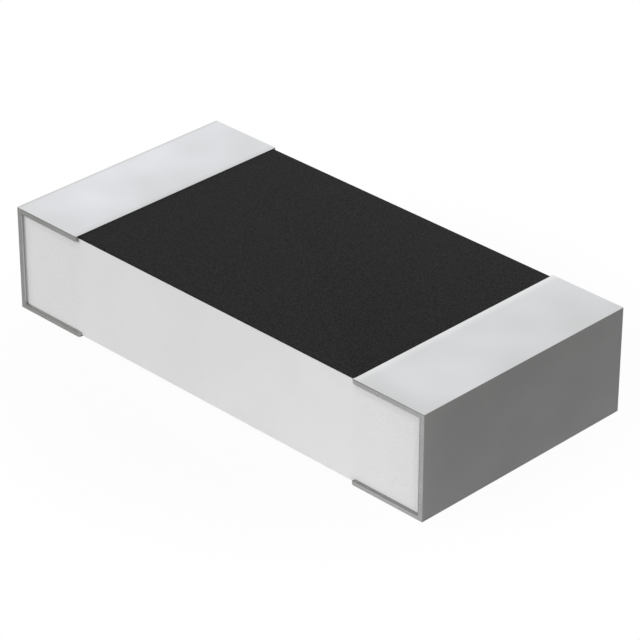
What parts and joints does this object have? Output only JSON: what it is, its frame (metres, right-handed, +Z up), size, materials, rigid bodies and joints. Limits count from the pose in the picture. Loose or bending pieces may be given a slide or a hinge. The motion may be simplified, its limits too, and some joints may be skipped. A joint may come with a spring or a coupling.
{
  "type": "smd chip resistor",
  "caption": "Rectangular surface-mount chip resistor: white ceramic block, black coat over the film on top, and a plated terminal wrapped round each end.",
  "frame": {"origin": "middle of the chip's footprint, on the underside of its terminals, where it meets the board", "axes": "+X along the chip from the left terminal to the right one, +Y across it, +Z up through the black coat"},
  "size_m": [0.0032, 0.0016, 0.0007],
  "materials": {
    "alumina": "matte",
    "black_epoxy": "matte",
    "glaze": "gloss",
    "resistive_oxide": "satin",
    "fired_silver": "satin",
    "end_silver": "satin",
    "plated_nickel": "satin",
    "plated_tin": "satin"
  },
  "bodies": {
    "root": {"alumina_substrate": "alumina", "black_overcoat": "black_epoxy", "glass_glaze": "glaze", "resistor_film": "resistive_oxide", "right_top_electrode": "fired_silver", "left_top_electrode": "fired_silver", "right_bottom_electrode": "fired_silver", "left_bottom_electrode": "fired_silver", "right_end_metal": "end_silver", "left_end_metal": "end_silver", "right_nickel_barrier": "plated_nickel", "left_nickel_barrier": "plated_nickel", "right_tin_plating": "plated_tin", "left_tin_plating": "plated_tin"}
  },
  "joints": []
}
